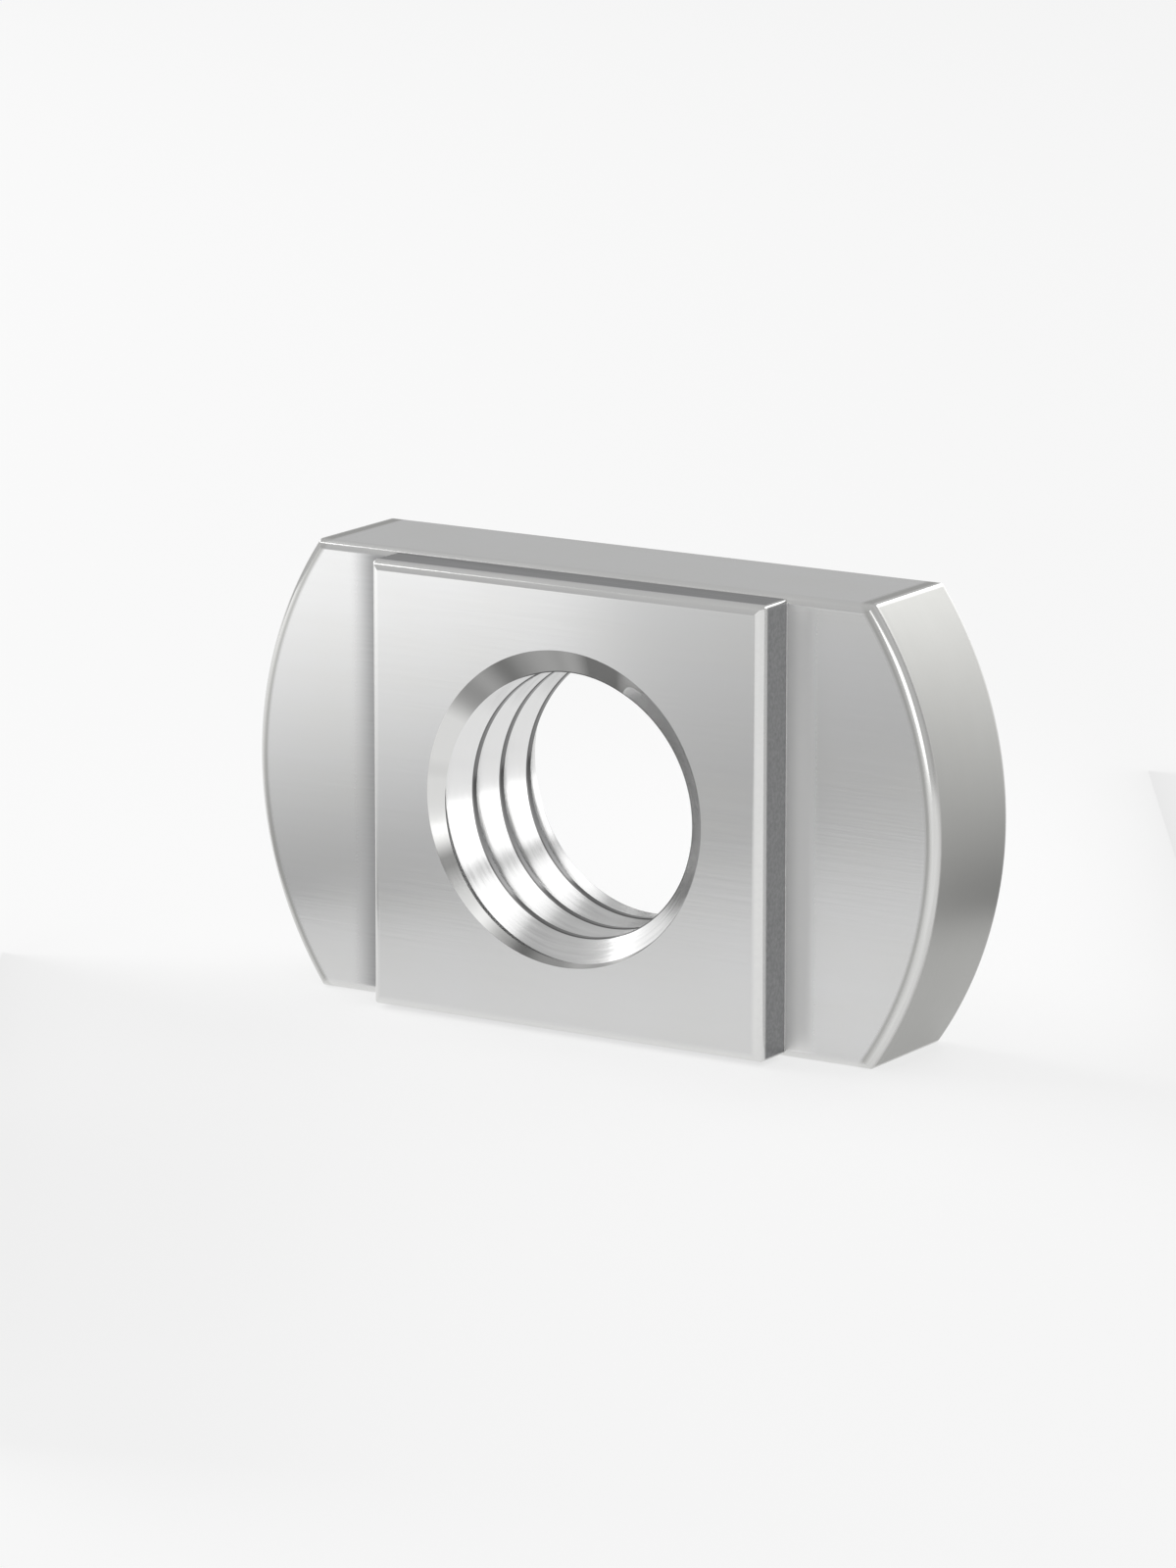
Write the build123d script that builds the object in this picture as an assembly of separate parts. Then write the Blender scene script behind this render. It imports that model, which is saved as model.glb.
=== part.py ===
from build123d import *
import math
import os

# A channel nut, in millimetres, standing on one of its two long flats.
# X runs along its length, Y through its thickness with the boss towards -Y, and Z is up.
# The origin is on the thread's axis, in the plane of the two wings that bear on the channel's lips.
# The nut goes through the channel's slot with its flats along the slot. A quarter turn then puts
# its round ends behind the lips and its square boss between them.

# The slot, and the play that the nut has in it from side to side
SLOT_WIDTH = 12.0
FLATS_PLAY = 0.4
BOSS_PLAY = 0.6

# The plate, whose ends are arcs about the thread's axis
END_DIAMETER = 19.9
PLATE_THICKNESS = 3.6

# The boss, which stands on the plate's front face
BOSS_HEIGHT = 1.2

# Every outer edge is tumbled to this radius
EDGE_RADIUS = 0.26

# The metric coarse thread M8, the drill that its hole is bored with before it is tapped,
# and the countersink at each end of it, which reaches the thread's nominal diameter
THREAD_DIAMETER = 8.0
TAP_DRILL_DIAMETER = 6.8
COUNTERSINK_ANGLE = 120.0

# Sizes that follow from the ones above. The hole is left at the size of the tap drill.
across_flats = SLOT_WIDTH - FLATS_PLAY
boss_side = SLOT_WIDTH - BOSS_PLAY
bore_radius = TAP_DRILL_DIAMETER / 2
countersink_radius = THREAD_DIAMETER / 2
countersink_depth = (countersink_radius - bore_radius) / math.tan(math.radians(COUNTERSINK_ANGLE / 2))
front = -BOSS_HEIGHT
back = PLATE_THICKNESS


def plate():
    """A disc cut to two parallel flats, with all its edges rounded."""
    outline = Circle(END_DIAMETER / 2) & Rectangle(END_DIAMETER, across_flats)
    blank = extrude(Plane.XZ * outline, amount=-PLATE_THICKNESS)
    return fillet(blank.edges(), EDGE_RADIUS)


def boss():
    """A square block, rooted at the plate's mid-plane, with its free edges rounded."""
    root = PLATE_THICKNESS / 2
    outline = Plane.XZ.offset(BOSS_HEIGHT) * Rectangle(boss_side, boss_side)
    block = extrude(outline, amount=-(BOSS_HEIGHT + root))
    buried = block.faces().sort_by(Axis.Y)[-1].edges()
    return fillet(block.edges() - buried, EDGE_RADIUS)


def bore():
    """The tool that cuts the hole: the bore and both countersinks, turned about the thread's axis."""
    profile = Polyline(
        (0, front),
        (countersink_radius, front),
        (bore_radius, front + countersink_depth),
        (bore_radius, back - countersink_depth),
        (countersink_radius, back),
        (0, back),
        close=True,
    )
    return revolve(make_face(profile), Axis.Y)


channel_nut = plate() + boss() - bore()

os.makedirs("parts", exist_ok=True)
export_step(channel_nut, "parts/channel_nut.step")
print("faces", len(channel_nut.faces()), "volume", round(channel_nut.volume, 2))
print("bore radius", round(bore_radius, 4), "wall", round(back - front - 2 * countersink_depth, 4))
print("countersink depth", round(countersink_depth, 4))
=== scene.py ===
"""The looks of a channel nut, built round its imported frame: the nut, its steel and a small studio."""
import logging
import math
from collections.abc import Callable, Mapping, Sequence
from dataclasses import dataclass, field
from enum import Enum
from typing import Any, Union

import bmesh
import bpy
from mathutils import Matrix, Vector


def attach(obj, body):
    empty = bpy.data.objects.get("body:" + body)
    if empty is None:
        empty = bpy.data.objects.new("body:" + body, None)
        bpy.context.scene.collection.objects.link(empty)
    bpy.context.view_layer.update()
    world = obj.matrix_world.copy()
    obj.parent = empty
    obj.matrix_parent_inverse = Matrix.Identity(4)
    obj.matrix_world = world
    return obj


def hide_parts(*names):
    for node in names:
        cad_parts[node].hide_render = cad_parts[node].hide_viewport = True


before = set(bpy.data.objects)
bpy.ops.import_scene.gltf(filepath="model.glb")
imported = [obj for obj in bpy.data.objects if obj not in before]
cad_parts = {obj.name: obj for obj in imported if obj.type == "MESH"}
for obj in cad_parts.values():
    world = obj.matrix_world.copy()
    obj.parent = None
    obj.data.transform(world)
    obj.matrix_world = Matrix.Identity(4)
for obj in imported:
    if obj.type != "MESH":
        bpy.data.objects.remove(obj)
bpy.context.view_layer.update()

MM = 0.001
IMAGE_LONG_SIDE_PX = 1600
# corners of a mesh that lie nearer to each other than this are one corner
MERGE_REACH = 1e-7
log = logging.getLogger("channel_nut")

Number = Union[int, float]
Operand = Union["Signal", int, float]
Triple = tuple[float, float, float]
Outline = list[tuple[float, float]]


class Signal:
    """A value on its way through a node tree, so that maths on it reads as Python."""

    def __init__(self, graph: "Graph", socket: bpy.types.NodeSocket) -> None:
        """Wraps one output socket.

        Args:
            graph: The tree that new Math nodes go into.
            socket: The output that carries the value.
        """
        self.graph = graph
        self.socket = socket

    def maths(self, operation: str, *operands: Operand, first: bool = True) -> "Signal":
        """Adds a Math node that works on this value.

        Args:
            operation: The node's operation.
            operands: The other values, in their order.
            first: Whether this value comes before the others.

        Returns:
            The node's result.
        """
        values = (self, *operands) if first else (*operands, self)
        node = self.graph.add("ShaderNodeMath", {"operation": operation}, dict(enumerate(values)))
        return Signal(self.graph, node.outputs[0])

    def __add__(self, other: Operand) -> "Signal":
        """Adds."""
        return self.maths("ADD", other)

    def __radd__(self, other: Number) -> "Signal":
        """Adds, from the right."""
        return self.maths("ADD", other)

    def __sub__(self, other: Operand) -> "Signal":
        """Takes away."""
        return self.maths("SUBTRACT", other)

    def __rsub__(self, other: Number) -> "Signal":
        """Takes this value away from a number."""
        return self.maths("SUBTRACT", other, first=False)

    def __mul__(self, other: Operand) -> "Signal":
        """Multiplies."""
        return self.maths("MULTIPLY", other)

    def __rmul__(self, other: Number) -> "Signal":
        """Multiplies, from the right."""
        return self.maths("MULTIPLY", other)

    def __truediv__(self, other: Operand) -> "Signal":
        """Divides."""
        return self.maths("DIVIDE", other)

    def __rtruediv__(self, other: Number) -> "Signal":
        """Divides a number by this value."""
        return self.maths("DIVIDE", other, first=False)

    def __mod__(self, other: Operand) -> "Signal":
        """The remainder, never negative."""
        return self.maths("FLOORED_MODULO", other)

    def __neg__(self) -> "Signal":
        """Turns the sign round."""
        return self.maths("MULTIPLY", -1.0)

    def __abs__(self) -> "Signal":
        """The value without its sign."""
        return self.maths("ABSOLUTE")

    def __gt__(self, other: Operand) -> "Signal":
        """One where this value is the larger, and zero elsewhere."""
        return self.maths("GREATER_THAN", other)

    def __lt__(self, other: Operand) -> "Signal":
        """One where this value is the smaller, and zero elsewhere."""
        return self.maths("LESS_THAN", other)

    def floor(self) -> "Signal":
        """The whole number at or below this value."""
        return self.maths("FLOOR")

    def at_least(self, low: Operand) -> "Signal":
        """This value, or the limit where it is lower."""
        return self.maths("MAXIMUM", low)

    def at_most(self, high: Operand) -> "Signal":
        """This value, or the limit where it is higher."""
        return self.maths("MINIMUM", high)

    def ramp(self, start: Number, end: Number) -> "Signal":
        """Rises smoothly from 0 at start to 1 at end.

        Args:
            start: The value that gives 0.
            end: The value that gives 1.

        Returns:
            The eased share.
        """
        node = self.graph.add("ShaderNodeMapRange", {"interpolation_type": "SMOOTHSTEP"},
                              {"Value": self, "From Min": start, "From Max": end})
        return Signal(self.graph, node.outputs["Result"])

    def or_where(self, mask: "Signal", other: Operand) -> "Signal":
        """This value, or another one where a mask is 1.

        Args:
            mask: From 0 to 1.
            other: The value where the mask is 1.

        Returns:
            The mix of the two.
        """
        return self + (other - self) * mask


class Graph:
    """A node tree that is being wired up, for a material, the world or geometry."""

    # the numbers of a Mix node's sockets where it mixes colours
    MIX_SHARE, MIX_BASE, MIX_OTHER, MIXED = 0, 6, 7, 2

    def __init__(self, tree: bpy.types.NodeTree) -> None:
        """Starts on an empty tree.

        Args:
            tree: The tree, which loses the nodes that it has.
        """
        self.tree = tree
        tree.nodes.clear()

    def add(self, kind: str, settings: Mapping[str, Any] | None = None,
            inputs: Mapping[Union[str, int], Any] | None = None) -> bpy.types.Node:
        """Adds one node.

        Args:
            kind: The node's type.
            settings: Its own settings, which are made first.
            inputs: Values or links by socket name or number.

        Returns:
            The node.
        """
        node = self.tree.nodes.new(kind)
        for name, value in (settings or {}).items():
            setattr(node, name, value)
        for key, value in (inputs or {}).items():
            if isinstance(value, Signal):
                value = value.socket
            if isinstance(value, bpy.types.Node):
                value = value.outputs[0]
            if isinstance(value, bpy.types.NodeSocket):
                self.tree.links.new(value, node.inputs[key])
            else:
                node.inputs[key].default_value = value
        return node

    def signal(self, kind: str, output: Union[str, int] = 0, settings: Mapping[str, Any] | None = None,
               inputs: Mapping[Union[str, int], Any] | None = None) -> Signal:
        """Adds one node and gives one of its outputs as a value.

        Args:
            kind: The node's type.
            output: The output's name or number.
            settings: As for add.
            inputs: As for add.

        Returns:
            The output.
        """
        return Signal(self, self.add(kind, settings, inputs).outputs[output])

    def split(self, vector: Union[Signal, bpy.types.NodeSocket]) -> tuple[Signal, Signal, Signal]:
        """Takes a vector apart.

        Args:
            vector: The vector.

        Returns:
            Its three parts.
        """
        parts = self.add("ShaderNodeSeparateXYZ", None, {0: vector}).outputs
        return Signal(self, parts[0]), Signal(self, parts[1]), Signal(self, parts[2])

    def join(self, x: Operand, y: Operand, z: Operand) -> Signal:
        """Puts a vector together.

        Args:
            x: The first part.
            y: The second part.
            z: The third part.

        Returns:
            The vector.
        """
        return self.signal("ShaderNodeCombineXYZ", 0, None, {0: x, 1: y, 2: z})

    def noise(self, place: Signal, scale: Triple, detail: float) -> Signal:
        """Adds noise that is stretched along some directions.

        Args:
            place: The coordinates.
            scale: How many times finer the noise is along each of them.
            detail: How many finer layers it has.

        Returns:
            The noise, about 0.5.
        """
        drawn = self.signal("ShaderNodeVectorMath", 0, {"operation": "MULTIPLY"}, {0: place, 1: scale})
        return self.signal("ShaderNodeTexNoise", 0, None,
                           {"Vector": drawn, "Scale": 1.0, "Detail": detail})

    def blend(self, base: Union[Signal, Sequence[float]], other: Union[Signal, Sequence[float]],
              share: Operand) -> Signal:
        """Mixes two colours.

        Args:
            base: The colour where the share is 0.
            other: The colour where the share is 1.
            share: From 0 to 1.

        Returns:
            The mixed colour.
        """
        first, second = (c if isinstance(c, Signal) else (*c, 1.0) for c in (base, other))
        return self.signal("ShaderNodeMix", self.MIXED, {"data_type": "RGBA"},
                           {self.MIX_SHARE: share, self.MIX_BASE: first, self.MIX_OTHER: second})


class Face(Enum):
    """The two ends of the nut's thickness."""

    FRONT = -1.2 * MM
    BACK = 3.6 * MM


def arc(centre: tuple[float, float], radius: float, start: float, end: float, steps: int) -> Outline:
    """Walks along a convex arc.

    Args:
        centre: Its centre, in X and Z.
        radius: Its radius.
        start: The angle that it starts at, from +X towards +Z, in radians.
        end: The angle that it ends at.
        steps: How many chords stand for it.

    Returns:
        The points in X and Z, both ends included.
    """
    turns = [start + (end - start) * i / steps for i in range(steps + 1)]
    return [(centre[0] + radius * math.cos(t), centre[1] + radius * math.sin(t)) for t in turns]


def skinned(name: str, rings: Sequence[Sequence[Triple]]) -> bpy.types.Mesh:
    """Skins a row of rings and closes both ends.

    Args:
        name: The mesh's name.
        rings: The corners of each ring, with as many on every one.

    Returns:
        A closed mesh that faces outwards.
    """
    made = bmesh.new()
    corners = [[made.verts.new(place) for place in ring] for ring in rings]
    count = len(corners[0])
    for near, far in zip(corners, corners[1:]):
        for i in range(count):
            j = (i + 1) % count
            made.faces.new((near[i], near[j], far[j], far[i]))
    made.faces.new(corners[0])
    made.faces.new(corners[-1])
    bmesh.ops.remove_doubles(made, verts=made.verts[:], dist=MERGE_REACH)
    bmesh.ops.recalc_face_normals(made, faces=made.faces[:])
    mesh = bpy.data.meshes.new(name)
    made.to_mesh(mesh)
    made.free()
    return mesh


@dataclass(frozen=True)
class TumbledBlock:
    """A straight block whose edges are rolled over to one radius.

    Its outline in XZ is given for any depth inside its edge, always with the same number of points.
    """

    outline: Callable[[float], Outline]
    front: float
    back: float
    edge_radius: float
    back_rolled: bool
    edge_steps: int = 24

    def sections(self) -> list[tuple[float, float]]:
        """Cuts the block up along Y.

        Returns:
            How far in and where along Y each ring lies, from the front face to the back.
        """
        quarter = [math.pi / 2 * i / self.edge_steps for i in range(self.edge_steps + 1)]
        rolled = [(self.edge_radius * (1 - math.sin(t)), self.edge_radius * (1 - math.cos(t)))
                  for t in quarter]
        rings = [(depth, self.front + along) for depth, along in rolled]
        if self.back_rolled:
            return rings + [(depth, self.back - along) for depth, along in reversed(rolled)]
        return rings + [(0.0, self.back)]

    def mesh(self, name: str) -> bpy.types.Mesh:
        """The block as a closed mesh."""
        rings = [[(x, y, z) for x, z in self.outline(depth)] for depth, y in self.sections()]
        return skinned(name, rings)


def linked(name: str, mesh: bpy.types.Mesh) -> bpy.types.Object:
    """Makes an object of a mesh and puts it in the scene.

    Args:
        name: The object's name.
        mesh: Its mesh.

    Returns:
        The object.
    """
    made = bpy.data.objects.new(name, mesh)
    bpy.context.scene.collection.objects.link(made)
    return made


def settled(piece: bpy.types.Object) -> None:
    """Turns a piece's modifiers into plain mesh.

    Args:
        piece: The object, which keeps its name and place.
    """
    graph = bpy.context.evaluated_depsgraph_get()
    mesh = bpy.data.meshes.new_from_object(
        piece.evaluated_get(graph), preserve_all_data_layers=True, depsgraph=graph)
    piece.modifiers.clear()
    old = piece.data
    piece.data = mesh
    bpy.data.meshes.remove(old)
    mesh.name = piece.name


@dataclass(frozen=True)
class TappedHole:
    """The right-hand thread and the countersink at each end of it, as one Geometry Nodes tree.

    The wall of the hole is a sheet of columns, one for each step round the axis. Each column follows
    the wall from the front rim to the back one, with four corners for each groove: 0 where it leaves
    the crest, 1 and 2 at the edges of its root, and 3 where it meets the next crest. A corner that the
    countersink has cut away slides along to where the countersink meets the thread, and the corners
    left in one place are merged.

    The groove is wider than the standard one, so that the crests are as narrow as in the photograph.
    """

    GROOVE_CORNERS = 4
    RIM_ROWS = 2
    # how many of the grooves are counted before the one that starts nearest to the wings' plane
    GROOVES_AHEAD = 2

    pitch: float = 1.25 * MM
    nominal_radius: float = 4.0 * MM
    minor_radius: float = 3.4 * MM
    root_clearance: float = 0.012 * MM
    root_width: float = 0.355 * MM
    countersink_angle: float = 120.0
    thread_angle: float = 65.0
    start: float = 0.143 * MM
    rim_margin: float = 0.0004 * MM
    columns: int = 720
    grooves: int = 7

    @property
    def root_radius(self) -> float:
        """The radius of the bottom of the groove."""
        return self.nominal_radius - self.root_clearance

    @property
    def groove_width(self) -> float:
        """The groove's width at the crests."""
        run = (self.root_radius - self.minor_radius) * math.tan(math.radians(self.thread_angle / 2))
        return self.root_width + 2 * run

    @property
    def countersink_slope(self) -> float:
        """How far a countersink widens for each unit of its depth."""
        return math.tan(math.radians(self.countersink_angle / 2))

    def drill(self) -> bpy.types.Object:
        """The plain round tool that opens the blank to the width of the rims.

        Returns:
            A prism with one corner for each column of the wall.
        """
        spare = 1.0 * MM
        turns = [2 * math.pi * i / self.columns for i in range(self.columns)]
        ends = (Face.FRONT.value - spare, Face.BACK.value + spare)
        radius = self.nominal_radius
        rings = [[(radius * math.cos(t), y, radius * math.sin(t)) for t in turns] for y in ends]
        return linked("drill", skinned("drill", rings))

    def open_wall(self, blank: bpy.types.Mesh) -> None:
        """Takes the drilled wall out of the blank, which leaves its two rims open.

        The cut may leave a corner part of the way along a chord, so every corner of a rim
        is moved to the column nearest to it.

        Args:
            blank: The drilled blank.
        """
        made = bmesh.new()
        made.from_mesh(blank)
        reach = self.nominal_radius + self.rim_margin
        wall = [f for f in made.faces if all(math.hypot(v.co.x, v.co.z) < reach for v in f.verts)]
        bmesh.ops.delete(made, geom=wall, context="FACES")
        step = 2 * math.pi / self.columns
        for corner in {v for edge in made.edges if edge.is_boundary for v in edge.verts}:
            turn = round(math.atan2(corner.co.z, corner.co.x) / step) * step
            corner.co.x = self.nominal_radius * math.cos(turn)
            corner.co.z = self.nominal_radius * math.sin(turn)
        bmesh.ops.remove_doubles(made, verts=made.verts[:], dist=MERGE_REACH)
        made.to_mesh(blank)
        made.free()

    def inputs(self) -> dict[str, float]:
        """The sizes that the tree takes, by the names of its inputs."""
        return {
            "Pitch": self.pitch,
            "Minor Radius": self.minor_radius,
            "Root Radius": self.root_radius,
            "Rim Radius": self.nominal_radius,
            "Groove Width": self.groove_width,
            "Countersink Slope": self.countersink_slope,
            "Flank Slope": 1 / math.tan(math.radians(self.thread_angle / 2)),
            "Start": self.start,
            "Front": Face.FRONT.value,
            "Back": Face.BACK.value,
        }

    def tree(self, material: bpy.types.Material) -> tuple[bpy.types.NodeTree, dict[str, str]]:
        """Builds the Geometry Nodes tree that adds the threaded wall to a drilled blank.

        Args:
            material: The finish of the whole nut.

        Returns:
            The tree, and the identifier of each of its inputs by name.
        """
        tree = bpy.data.node_groups.new("tapped_hole", "GeometryNodeTree")
        tree.interface.new_socket("Geometry", in_out="INPUT", socket_type="NodeSocketGeometry")
        tree.interface.new_socket("Geometry", in_out="OUTPUT", socket_type="NodeSocketGeometry")
        names = {}
        for name in self.inputs():
            socket = tree.interface.new_socket(name, in_out="INPUT", socket_type="NodeSocketFloat")
            names[name] = socket.identifier
        graph = Graph(tree)
        source = graph.add("NodeGroupInput")
        size = {name: Signal(graph, source.outputs[name]) for name in names}
        rows = self.GROOVE_CORNERS * self.grooves + self.RIM_ROWS
        grid = graph.add("GeometryNodeMeshGrid", None, {
            "Size X": 1.0, "Size Y": 1.0, "Vertices X": self.columns + 1, "Vertices Y": rows})
        # the grid is one unit each way, with its middle at the origin
        across, down, _ = graph.split(graph.signal("GeometryNodeInputPosition"))
        turn = (across + 0.5) * (2 * math.pi)
        row = ((down + 0.5) * (rows - 1) + 0.5).floor()
        y, radius = self._wall(row, turn, rows, size)
        place = graph.join(radius * turn.maths("COSINE"), y, radius * turn.maths("SINE"))
        wall = graph.add("GeometryNodeSetPosition", None, {
            "Geometry": grid.outputs["Mesh"], "Position": place})
        whole = graph.add("GeometryNodeJoinGeometry")
        tree.links.new(source.outputs["Geometry"], whole.inputs[0])
        tree.links.new(wall.outputs[0], whole.inputs[0])
        merged = graph.add("GeometryNodeMergeByDistance", None, {
            "Geometry": whole, "Distance": 2 * MERGE_REACH})
        real = graph.add("GeometryNodeRealizeInstances", None, {"Geometry": merged})
        dressed = graph.add("GeometryNodeSetMaterial", None, {"Geometry": real, "Material": material})
        graph.add("NodeGroupOutput", None, {0: dressed})
        return tree, names

    @classmethod
    def _wall(cls, row: Signal, turn: Signal, rows: int,
              size: Mapping[str, Signal]) -> tuple[Signal, Signal]:
        """Works out where the wall's sheet lies.

        Args:
            row: The number of the corner down its column.
            turn: The column's angle from +X towards +Z.
            rows: How many corners a column has.
            size: The tree's inputs.

        Returns:
            The corner's place along Y, and its distance from the axis.
        """
        pitch, width, front, back = (size[n] for n in ("Pitch", "Groove Width", "Front", "Back"))
        minor, root, rim = (size[n] for n in ("Minor Radius", "Root Radius", "Rim Radius"))
        slope, flank = size["Countersink Slope"], size["Flank Slope"]
        sink_depth = (rim - minor) / slope
        sink_front, sink_back = front + sink_depth, back - sink_depth
        # a crest's back edge, where a groove starts, comes towards the front as the column goes round
        groove_start = size["Start"] + pitch * (0.5 - turn / (2 * math.pi))
        # the first groove that the front countersink leaves, and the last one that the back one does
        first = sink_front - width + pitch - (sink_front - groove_start - width) % pitch
        last = sink_back + width - pitch + (groove_start - sink_back) % pitch
        # a flank leaves the crest as steeply as flank says, so it meets the countersink part of the way
        share = flank / (flank + slope)
        deepest = (root - minor) / slope
        front_cut = ((sink_front - first) * share).at_least(0.0).at_most(deepest)
        back_cut = ((last - sink_back) * share).at_least(0.0).at_most(deepest)
        y_front, y_back = sink_front - front_cut, sink_back + back_cut
        # the corner's own groove, and which of the groove's four corners it is
        step = row - 1.0
        groove = (step / cls.GROOVE_CORNERS).floor()
        corner = step - groove * cls.GROOVE_CORNERS
        past_root = corner > 1.5
        at_root = (corner > 0.5) * (corner < 2.5)
        run = (root - minor) / flank
        offset = past_root * width + at_root * run * (1.0 - past_root * 2.0)
        bare_y = groove_start + (groove - cls.GROOVES_AHEAD) * pitch + offset
        bare_radius = minor + at_root * (root - minor)
        y = bare_y.at_least(y_front).at_most(y_back)
        radius = bare_radius.or_where(1 - (bare_y > y_front), minor + front_cut * slope)
        radius = radius.or_where(1 - (bare_y < y_back), minor + back_cut * slope)
        at_front, at_back = row < 0.5, row > rows - 1.5
        at_rim = at_front + at_back
        return y.or_where(at_front, front).or_where(at_back, back), radius.or_where(at_rim, rim)

    def tap(self, nut: bpy.types.Object, material: bpy.types.Material) -> None:
        """Gives a drilled blank its threaded wall.

        Args:
            nut: The blank, with the wall of its hole open.
            material: The finish of the whole nut.
        """
        tree, names = self.tree(material)
        modifier = nut.modifiers.new("tapped_hole", "NODES")
        modifier.node_group = tree
        for name, value in self.inputs().items():
            modifier[names[name]] = value
        settled(nut)


@dataclass(frozen=True)
class ZoneBounds:
    """Where the zones of the finish begin and end, in millimetres or, named so, in edge radii."""

    skin: float = 0.004
    sink_lap: float = 0.01
    crest_lap: float = 0.03
    end_radii: tuple[float, float] = (1.4, 0.9)
    wall_radii: tuple[float, float] = (0.8, 1.3)
    edge_radii: tuple[float, float] = (0.45, 1.1)
    # the left wing's strip beside the boss, which carries painted shade
    dulled_strip: tuple[float, float] = (0.4, 1.45)
    # the right wing's strip beside the boss, which carries a painted highlight
    rubbed_strip: tuple[float, float] = (0.3, 1.0)


@dataclass(frozen=True)
class Zones:
    """Where a point of the surface lies, as values of a material's tree, in millimetres."""

    x: Signal
    y: Signal
    z: Signal
    radius: Signal
    turn: Signal
    in_hole: Signal
    on_thread: Signal
    on_crest: Signal
    on_end: Signal
    on_boss_wall: Signal
    edge: Signal
    # painted shade on the left wing's strip, and a painted highlight on the right wing's strip
    dulled: Signal
    rubbed: Signal

    @classmethod
    def of(cls, graph: Graph, in_mm: Signal, nut: "ChannelNut", bounds: ZoneBounds) -> "Zones":
        """Works the zones out from the nut's sizes.

        Args:
            graph: The material's tree.
            in_mm: Object coordinates in millimetres.
            nut: The nut, for its sizes.
            bounds: Where the zones end.

        Returns:
            The zones, each mask from 0 to 1.
        """
        x, y, z = graph.split(in_mm)
        radius = (x * x + z * z).maths("SQRT")
        front, back = Face.FRONT.value / MM, Face.BACK.value / MM
        flats, ends, side = nut.across_flats / MM / 2, nut.end_radius / MM, nut.boss_side / MM / 2
        rim, crest = nut.hole.nominal_radius / MM, nut.hole.minor_radius / MM
        rolled = nut.edge_radius / MM
        in_hole = radius < rim + bounds.skin
        slope = nut.hole.countersink_slope
        past_front = radius > rim - (y - front) * slope + bounds.sink_lap
        past_back = radius > rim - (back - y) * slope + bounds.sink_lap
        on_boss = y < -bounds.skin
        boss_wall = y.ramp(*(front + n * rolled for n in bounds.wall_radii))
        sharper = nut.edge_radius / nut.corner_radius
        plate_edge = cls._nearest_edge(y.at_most(back - y), flats - abs(z), ends - radius, sharper)
        boss_edge = cls._nearest_edge(y - front, side - abs(x), side - abs(z), sharper)
        nearest_edge = plate_edge.or_where(on_boss, boss_edge)
        past_edge = nearest_edge.ramp(*(n * rolled for n in bounds.edge_radii))
        on_wing = (y < bounds.skin) * (1 - on_boss) * (abs(x) > side)
        left = x < 0.0
        return cls(
            x=x, y=y, z=z,
            radius=radius,
            turn=z.maths("ARCTAN2", x),
            in_hole=in_hole,
            on_thread=in_hole * (past_front * past_back),
            on_crest=in_hole * (radius < crest + bounds.crest_lap),
            on_end=radius.ramp(*(ends - n * rolled for n in bounds.end_radii)),
            on_boss_wall=on_boss * boss_wall * (1 - in_hole),
            edge=(1 - past_edge) * (1 - in_hole),
            # the left strip carries painted shade, the right strip a painted highlight
            dulled=on_wing * left * (1 - (-x - side).ramp(*bounds.dulled_strip)),
            rubbed=on_wing * (1 - left) * (1 - (x - side).ramp(*bounds.rubbed_strip)),
        )

    @staticmethod
    def _nearest_edge(face: Signal, side: Signal, other_side: Signal, sharper: float) -> Signal:
        """How far a point of the surface is from the nearest rolled edge.

        Args:
            face: Its depth under the faces.
            side: Its depth inside one pair of sides.
            other_side: Its depth inside the other pair of sides.
            sharper: How many times sharper the upright corners are than the edges of the faces.

        Returns:
            The distance, which counts for more at the upright corners.
        """
        face_edge = face.at_least(side.at_most(other_side))
        return face_edge.at_most(side.at_least(other_side) * sharper)


@dataclass(frozen=True)
class Cover:
    """How much of a zone a colour covers, worked colours and painted shade and highlights alike, and
    how far the grain makes that uneven.
    """

    share: float
    swing: float = 0.0

    def over(self, zone: Signal, grain: Signal) -> Signal:
        """Spreads the cover over a zone.

        Args:
            zone: The zone, from 0 to 1.
            grain: The fine marks, about 0.5.

        Returns:
            The cover, from 0 to 1.
        """
        return zone * ((grain - 0.5) * self.swing + self.share).at_most(1.0)


@dataclass(frozen=True)
class Marks:
    """The marks of the finish, and the hole's painted reflection patches, as values of a material's
    tree, each about 0.5.
    """

    grain: Signal
    cloud: Signal
    streak: Signal
    painted_reflections: Signal


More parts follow.
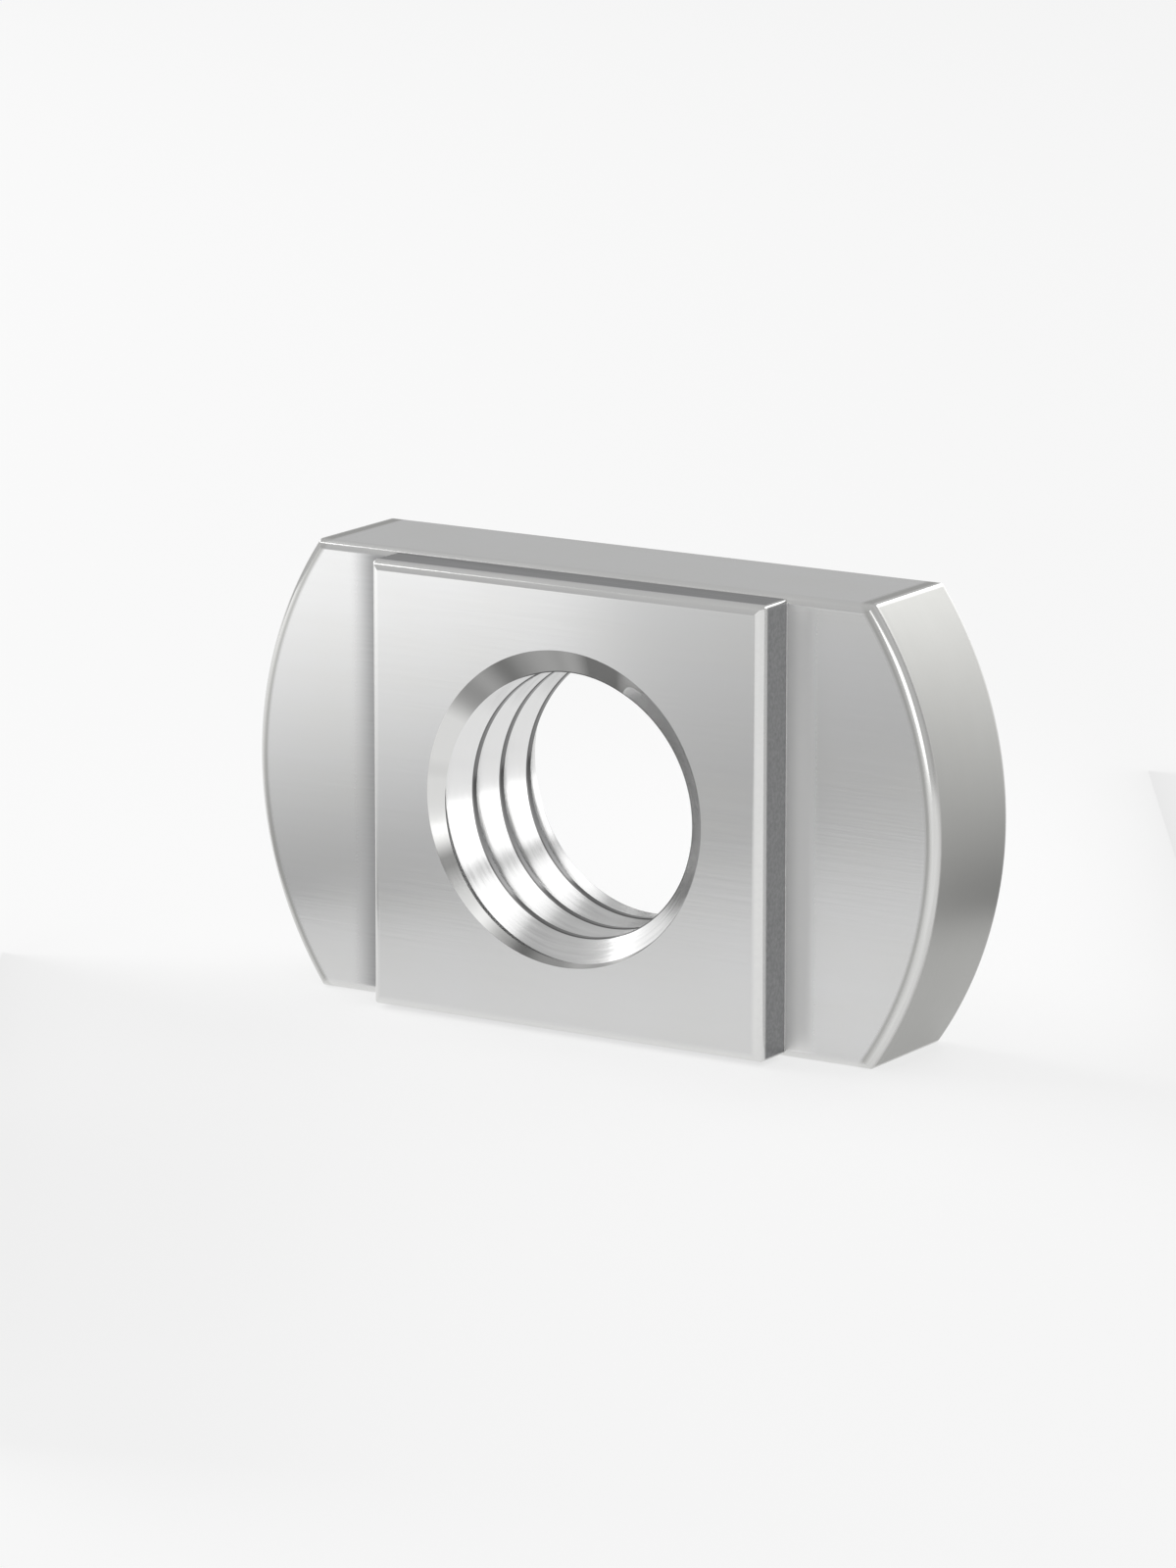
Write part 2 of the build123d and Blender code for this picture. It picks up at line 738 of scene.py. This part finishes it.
@dataclass(frozen=True)
class SatinSteel:
    """Stainless steel with a satin polish: fine straight grain outside, turned marks in the hole. Its
    colour also carries painted shade on the boss's walls, the left wing's strip and the thread's
    crests, painted highlights on the right wing's strip and, with wear, on the rolled edges, and
    painted reflections round the hole.
    """

    name: str = "satin_steel"
    bounds: ZoneBounds = ZoneBounds()

    colour: Triple = (0.695, 0.697, 0.70)
    warm_colour: Triple = (0.69, 0.69, 0.682)
    # painted highlight on the right wing's strip beside the boss
    rubbed_colour: Triple = (0.97, 0.97, 0.96)
    # painted shade: a dark colour on the boss's walls and on the left wing's strip beside the boss
    painted_shade_colour: Triple = (0.18, 0.182, 0.188)
    ground_colour: Triple = (0.43, 0.43, 0.417)
    # painted reflections round the hole: painted shade, then painted highlight
    painted_shade_hole_colour: Triple = (0.17, 0.17, 0.167)
    painted_highlight_hole_colour: Triple = (0.76, 0.76, 0.75)
    cut_colour: Triple = (0.83, 0.83, 0.83)
    # painted shade: the dark lines along the thread's crests
    painted_shade_crest_colour: Triple = (0.10, 0.10, 0.10)
    # the rolled edges: lighter for wear and for a painted highlight
    worn_and_highlight_colour: Triple = (0.78, 0.78, 0.77)

    roughness: float = 0.235
    worn_roughness: float = 0.15
    milled_roughness: float = 0.30
    corner_roughness: float = 0.55
    ground_roughness: float = 0.40
    hole_roughness: float = 0.17

    # how much painted shade the boss's walls and the left wing's strip take
    painted_shade_cover: Cover = Cover(0.92, 0.3)
    dulled_share: float = 0.75
    cut_cover: Cover = Cover(0.78, 0.4)
    # how much painted shade the crests take
    crest_shade_cover: Cover = Cover(0.9)
    # how much of the rolled edges the wear and the painted highlight cover
    worn_and_highlight_cover: Cover = Cover(0.75, 0.8)

    fine_layers: float = 3.0
    broad_layers: float = 2.0
    reflection_patch_layers: float = 1.0
    straight_scale: Triple = (0.3, 11.0, 11.0)
    turned_scale: Triple = (1.4, 13.0, 13.0)
    ground_scale: Triple = (2.5, 12.0, 3.0)
    cloud_scale: Triple = (0.35, 0.35, 0.35)
    streak_scale: Triple = (0.06, 1.6, 1.6)
    # the painted reflection patches round the hole
    reflection_patch_scale: Triple = (2.1, 2.1, 2.1)
    # found by searching random offsets for one whose patches lie about as in the photograph
    reflection_patch_offset: Triple = (-1.571, 8.143, 8.381)
    reflection_patch_contrast: float = 2.9
    cloud_on_colour: float = 1.6
    streak_on_colour: float = 1.2
    grain_on_roughness: float = 0.07
    cloud_on_roughness: float = 0.04
    streak_on_roughness: float = 0.03
    grain_depth: float = 0.0012 * MM

    def material(self, nut: "ChannelNut") -> bpy.types.Material:
        """Builds the material.

        Args:
            nut: The nut that it is for, which gives the sizes of its zones.

        Returns:
            The finish, which reads Object coordinates.
        """
        made = bpy.data.materials.new(self.name)
        made.use_nodes = True
        graph = Graph(made.node_tree)
        place = graph.signal("ShaderNodeTexCoord", "Object")
        in_mm = graph.signal("ShaderNodeVectorMath", 0, {"operation": "SCALE"},
                             {0: place, "Scale": 1 / MM})
        zones = Zones.of(graph, in_mm, nut, self.bounds)
        marks = Marks(
            grain=self._grain(graph, zones),
            cloud=graph.noise(in_mm, self.cloud_scale, self.broad_layers),
            streak=graph.noise(in_mm, self.streak_scale, self.broad_layers),
            painted_reflections=self._painted_reflections(graph, zones),
        )
        steel = graph.add("ShaderNodeBsdfPrincipled", None, {
            "Base Color": self._colour(graph, zones, marks),
            "Metallic": 1.0,
            "Roughness": self._roughness(zones, marks),
            "Normal": graph.add("ShaderNodeBump", None, {
                "Strength": 1.0, "Distance": self.grain_depth, "Height": marks.grain}),
        })
        graph.add("ShaderNodeOutputMaterial", None, {"Surface": steel})
        return made

    def _grain(self, graph: Graph, zones: Zones) -> Signal:
        """The fine marks of the finish.

        They run straight along the nut on its faces and flats, and round the axis on its ends
        and in its hole.

        Args:
            graph: The material's tree.
            zones: Where the point lies.

        Returns:
            The marks, about 0.5 with a swing of about 0.3.
        """
        along = graph.join(zones.x, zones.y, zones.z)
        about = graph.join(zones.turn, zones.y, zones.radius)
        straight = graph.noise(along, self.straight_scale, self.fine_layers)
        turned = graph.noise(about, self.turned_scale, self.fine_layers)
        ground = graph.noise(about, self.ground_scale, self.fine_layers)
        return straight.or_where(zones.on_end, ground).or_where(zones.in_hole, turned)

    def _painted_reflections(self, graph: Graph, zones: Zones) -> Signal:
        """Painted reflections round the hole: 1 is a painted highlight and 0 painted shade, as patches
        of noise round the axis.

        Args:
            graph: The material's tree.
            zones: Where the point lies.

        Returns:
            From 0 to 1, the same all along the hole's depth.
        """
        across, up, depth = self.reflection_patch_offset
        round_hole = graph.join(zones.x / zones.radius + across, zones.z / zones.radius + up, depth)
        patches = graph.noise(round_hole, self.reflection_patch_scale, self.reflection_patch_layers)
        return ((patches - 0.5) * self.reflection_patch_contrast + 0.5).at_least(0.0).at_most(1.0)

    def _colour(self, graph: Graph, zones: Zones, marks: Marks) -> Signal:
        """The steel's colour.

        Args:
            graph: The material's tree.
            zones: Where the point lies.
            marks: The marks there.

        Returns:
            The colour.
        """
        cloudy = (marks.cloud - 0.5) * self.cloud_on_colour
        drift = (cloudy + (marks.streak - 0.5) * self.streak_on_colour + 0.5).at_least(0.0).at_most(1.0)
        steel = graph.blend(self.colour, self.warm_colour, drift)
        # painted highlight on the right wing's strip
        rubbed = graph.blend(steel, self.rubbed_colour, zones.rubbed)
        # painted shade on the boss's walls and on the left wing's strip
        painted_shade = zones.on_boss_wall.at_least(zones.dulled * self.dulled_share)
        after_walls = graph.blend(rubbed, self.painted_shade_colour, self.painted_shade_cover.over(painted_shade, marks.grain))
        ground = graph.blend(after_walls, self.ground_colour, zones.on_end)
        # painted reflections round the hole: patches of painted shade and painted highlight
        turned = graph.blend(self.painted_shade_hole_colour, self.painted_highlight_hole_colour, marks.painted_reflections)
        sunk = graph.blend(ground, turned, zones.in_hole)
        cut = graph.blend(sunk, self.cut_colour, self.cut_cover.over(zones.on_thread, marks.grain))
        # painted shade: dark lines along the crests
        crests = self.crest_shade_cover.over(zones.on_crest, marks.grain)
        drilled = graph.blend(cut, self.painted_shade_crest_colour, crests)
        # lighter rolled edges: wear and a painted highlight
        return graph.blend(drilled, self.worn_and_highlight_colour, self.worn_and_highlight_cover.over(zones.edge, marks.grain))

    def _roughness(self, zones: Zones, marks: Marks) -> Signal:
        """The steel's roughness.

        Args:
            zones: Where the point lies.
            marks: The marks there.

        Returns:
            The roughness.
        """
        strips = zones.dulled + zones.rubbed
        plain = strips * (self.corner_roughness - self.roughness) + self.roughness
        after_walls = plain.or_where(zones.on_boss_wall, self.milled_roughness)
        ground = after_walls.or_where(zones.on_end, self.ground_roughness)
        sunk = ground.or_where(zones.in_hole, self.hole_roughness)
        worn = sunk.or_where(zones.edge, self.worn_roughness)
        fine = (marks.grain - 0.5) * self.grain_on_roughness
        broad = (marks.cloud - 0.5) * self.cloud_on_roughness
        return worn + fine + broad + (marks.streak - 0.5) * self.streak_on_roughness


@dataclass
class ChannelNut:
    """The nut: a plate with two flats and round ends, a square boss, and the tapped hole."""

    across_flats: float = 11.6 * MM
    end_radius: float = 9.95 * MM
    boss_side: float = 11.4 * MM
    edge_radius: float = 0.26 * MM
    corner_radius: float = 0.09 * MM
    end_steps: int = 64
    corner_steps: int = 24
    sharp_angle: float = 4.5
    hole: TappedHole = field(default_factory=TappedHole)
    finish: SatinSteel = field(default_factory=SatinSteel)

    def plate_outline(self, depth: float) -> Outline:
        """The plate's outline, whose ends are arcs about the thread's axis.

        Args:
            depth: How far inside the plate's edge it lies.

        Returns:
            The outline. Its four corners are round down to their own radius, and sharp below that.
        """
        inset = max(depth, self.corner_radius)
        half = self.across_flats / 2 - inset
        reach = math.sqrt((self.end_radius - inset) ** 2 - half ** 2)
        meet = math.atan2(half, reach)
        outline = []
        for side, sign in ((0.0, 1.0), (math.pi, -1.0)):
            outline += arc((0.0, 0.0), self.end_radius - depth, side - meet, side + meet,
                           self.end_steps)
            upper, lower = (sign * reach, sign * half), (-sign * reach, sign * half)
            flat = side + math.pi / 2
            outline += arc(upper, inset - depth, side + meet, flat, self.corner_steps)[1:]
            outline += arc(lower, inset - depth, flat, side + math.pi - meet, self.corner_steps)[:-1]
        return outline

    def boss_outline(self, depth: float) -> Outline:
        """The square boss's outline, with corners as on the plate.

        Args:
            depth: How far inside the boss's edge it lies.

        Returns:
            The outline.
        """
        inset = max(depth, self.corner_radius)
        inner = self.boss_side / 2 - inset
        outline = []
        for quarter in range(4):
            start = quarter * math.pi / 2
            middle = start + math.pi / 4
            centre = (math.copysign(inner, math.cos(middle)), math.copysign(inner, math.sin(middle)))
            outline += arc(centre, inset - depth, start, start + math.pi / 2, self.corner_steps)
        return outline

    def plate(self) -> TumbledBlock:
        """The plate, rolled on both faces."""
        return TumbledBlock(self.plate_outline, 0.0, Face.BACK.value, self.edge_radius,
                            back_rolled=True)

    def boss(self) -> TumbledBlock:
        """The square boss, rooted at the plate's mid-plane."""
        return TumbledBlock(self.boss_outline, Face.FRONT.value, Face.BACK.value / 2, self.edge_radius,
                            back_rolled=False)

    def build(self) -> bpy.types.Object:
        """Joins plate and boss, drills them, taps the hole and dresses the nut.

        Returns:
            The finished nut, in place of the CAD solid.
        """
        nut = linked("nut_body", self.plate().mesh("plate"))
        tools = [linked("boss", self.boss().mesh("boss")), self.hole.drill()]
        for tool, operation in zip(tools, ("UNION", "DIFFERENCE")):
            cut = nut.modifiers.new(tool.name, "BOOLEAN")
            cut.object, cut.operation, cut.solver = tool, operation, "EXACT"
        settled(nut)
        for tool in tools:
            bpy.data.meshes.remove(tool.data)
        self.hole.open_wall(nut.data)
        self.hole.tap(nut, self.finish.material(self))
        self._smooth(nut)
        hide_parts("channel_nut")
        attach(nut, "root")
        return nut

    def _smooth(self, nut: bpy.types.Object) -> None:
        """Shades rolled edges smooth and flat faces flat.

        A rolled edge turns by less than the sharp angle from one step to the next.

        Args:
            nut: The whole nut.
        """
        made = bmesh.new()
        made.from_mesh(nut.data)
        bmesh.ops.recalc_face_normals(made, faces=made.faces[:])
        made.to_mesh(nut.data)
        made.free()
        nut.data.polygons.foreach_set("use_smooth", [True] * len(nut.data.polygons))
        nut.data.set_sharp_from_angle(angle=math.radians(self.sharp_angle))
        weighted = nut.modifiers.new("weighted", "WEIGHTED_NORMAL")
        weighted.keep_sharp = True
        settled(nut)


@dataclass(frozen=True)
class SoftBox:
    """A soft lamp of the studio."""

    name: str
    place: Triple
    width: float
    height: float
    brightness: float
    aim: Triple = (0.0, 0.0, 0.0)

    def build(self) -> bpy.types.Object:
        """Hangs the lamp.

        Returns:
            The lamp's object.
        """
        light = bpy.data.lights.new(self.name, "AREA")
        light.shape = "RECTANGLE"
        light.size, light.size_y = self.width, self.height
        light.energy = self.brightness * math.pi * self.width * self.height
        lamp = bpy.data.objects.new(self.name, light)
        bpy.context.scene.collection.objects.link(lamp)
        lamp.location = self.place
        lamp.rotation_mode = "QUATERNION"
        towards = Vector(self.aim) - Vector(self.place)
        lamp.rotation_quaternion = towards.to_track_quat("-Z", "Y")
        return lamp


@dataclass(frozen=True)
class Diffuser:
    """An upright panel beside the line of sight, which glows more towards its top.

    The steel mirrors it, and the camera looks through it, so that it hides nothing in any view.
    """

    name: str
    aside: float
    near: float
    far: float
    height: float
    foot: float
    top: float

    def build(self, line_of_sight: Vector, level: float) -> bpy.types.Object:
        """Stands the panel on the floor.

        Args:
            line_of_sight: The camera's level direction, from the nut.
            level: The floor's height.

        Returns:
            The panel.
        """
        right = Vector((-line_of_sight.y, line_of_sight.x, 0.0))
        ends = [right * self.aside + line_of_sight * along for along in (self.near, self.far)]
        mesh = bpy.data.meshes.new(self.name)
        low = [(end.x, end.y, level) for end in ends]
        high = [(end.x, end.y, level + self.height) for end in reversed(ends)]
        mesh.from_pydata(low + high, [], [(0, 1, 2, 3)])
        glow = bpy.data.materials.new(self.name)
        glow.use_nodes = True
        graph = Graph(glow.node_tree)
        z = graph.split(graph.signal("ShaderNodeTexCoord", "Object"))[2]
        rise = ((z - level) / self.height).at_least(0.0).at_most(1.0)
        foot = self.foot / self.top
        shade = graph.blend((foot, foot, foot), (1.0, 1.0, 1.0), rise)
        light = graph.add("ShaderNodeEmission", None, {"Color": shade, "Strength": self.top})
        graph.add("ShaderNodeOutputMaterial", None, {"Surface": light})
        mesh.materials.append(glow)
        panel = linked(self.name, mesh)
        panel.visible_camera = False
        return panel


@dataclass
class Studio:
    """The pale floor, the lamps, the panels and the world."""

    floor_level: float = -5.81 * MM
    floor_reach: float = 1.5
    floor_colour: Triple = (0.9, 0.9, 0.9)
    floor_glow: float = 0.7
    world_strength: float = 0.58
    # the lamps' places were picked by a fit to the tones in the photograph
    lamps: Sequence[SoftBox] = (
        SoftBox("left", (-0.254, -0.010, 0.159), 0.20, 0.20, brightness=3.4),
        SoftBox("front", (0.010, -0.254, 0.159), 0.13, 0.13, brightness=0.9),
        SoftBox("beside_camera", (0.157, -0.248, 0.062), 0.17, 0.13, brightness=1.25),
    )
    panels: Sequence[Diffuser] = (
        Diffuser("left_panel", aside=-15.2 * MM, near=-8.0 * MM, far=9.0 * MM, height=10.5 * MM,
                 foot=0.42, top=1.48),
        Diffuser("left_front_panel", aside=-15.2 * MM, near=9.0 * MM, far=34.0 * MM, height=10.5 * MM,
                 foot=0.42, top=0.92),
        Diffuser("right_panel", aside=16.0 * MM, near=-30.0 * MM, far=3.0 * MM, height=22.0 * MM,
                 foot=0.25, top=2.7),
    )

    def build(self, line_of_sight: Vector) -> None:
        """Sets the studio up.

        Args:
            line_of_sight: The camera's level direction, from the nut.
        """
        self._floor()
        self._world()
        for lamp in self.lamps:
            lamp.build()
            log.info("lamp %s", lamp.name)
        for panel in self.panels:
            panel.build(line_of_sight, self.floor_level)
            log.info("panel %s", panel.name)

    def _floor(self) -> None:
        """Lays the floor."""
        made = bmesh.new()
        bmesh.ops.create_grid(made, x_segments=1, y_segments=1, size=self.floor_reach)
        bmesh.ops.translate(made, verts=made.verts[:], vec=(0.0, 0.0, self.floor_level))
        mesh = bpy.data.meshes.new("floor")
        made.to_mesh(mesh)
        made.free()
        floor = linked("floor", mesh)
        paint = bpy.data.materials.new("floor_paint")
        paint.use_nodes = True
        graph = Graph(paint.node_tree)
        matt = graph.add("ShaderNodeBsdfDiffuse", None, {"Color": (*self.floor_colour, 1.0)})
        white = graph.add("ShaderNodeEmission", None, {"Color": (1.0, 1.0, 1.0, 1.0), "Strength": 1.0})
        path = graph.add("ShaderNodeLightPath").outputs
        seen, mirrored, through = (Signal(graph, path[f"Is {ray} Ray"])
                                   for ray in ("Camera", "Glossy", "Transmission"))
        shown = seen.at_least(mirrored).at_least(through)
        mix = graph.add("ShaderNodeMixShader", None, {0: shown * self.floor_glow, 1: matt, 2: white})
        graph.add("ShaderNodeOutputMaterial", None, {"Surface": mix})
        mesh.materials.append(paint)

    def _world(self) -> None:
        """Fills the room with even light."""
        world = bpy.data.worlds.new("studio")
        bpy.context.scene.world = world
        world.use_nodes = True
        graph = Graph(world.node_tree)
        sky = graph.add("ShaderNodeBackground", None, {
            "Color": (1.0, 1.0, 1.0, 1.0), "Strength": self.world_strength})
        graph.add("ShaderNodeOutputWorld", None, {"Surface": sky})


@dataclass(frozen=True)
class PhotoCamera:
    """The camera, at the angle and distance of the photograph."""

    azimuth: float = 32.267
    elevation: float = 12.469
    distance: float = 200.0 * MM
    focal_px: float = 8227.428
    aside: float = -0.012 * MM
    above: float = 0.425 * MM
    sensor: float = 36.0
    near_clip: float = 10.0 * MM

    def line_of_sight(self) -> Vector:
        """The level direction from the nut to the camera."""
        turn = math.radians(self.azimuth)
        return Vector((math.sin(turn), -math.cos(turn), 0.0))

    def build(self) -> bpy.types.Object:
        """Places the camera and makes it the scene's own.

        Returns:
            The camera's object.
        """
        turn, rise = math.radians(self.azimuth), math.radians(self.elevation)
        level = math.cos(rise)
        forward = Vector((-math.sin(turn) * level, math.cos(turn) * level, -math.sin(rise)))
        right = Vector((math.cos(turn), math.sin(turn), 0.0))
        up = right.cross(forward)
        data = bpy.data.cameras.new("camera")
        data.sensor_width = self.sensor
        data.lens = self.focal_px * self.sensor / IMAGE_LONG_SIDE_PX
        data.clip_start = self.near_clip
        camera = bpy.data.objects.new("camera", data)
        bpy.context.scene.collection.objects.link(camera)
        place = right * self.aside + up * self.above - forward * self.distance
        turned = Matrix((right, up, -forward)).transposed()
        camera.matrix_world = Matrix.Translation(place) @ turned.to_4x4()
        bpy.context.scene.camera = camera
        return camera


def main() -> None:
    """Builds the nut, the studio and the camera, in that order."""
    logging.basicConfig(level=logging.INFO, format="%(name)s: %(message)s")
    nut = ChannelNut().build()
    log.info("piece %s: %d faces", nut.name, len(nut.data.polygons))
    camera = PhotoCamera()
    Studio().build(camera.line_of_sight())
    camera.build()
    bpy.context.scene.view_settings.view_transform = "Standard"


if __name__ == "__main__":
    main()
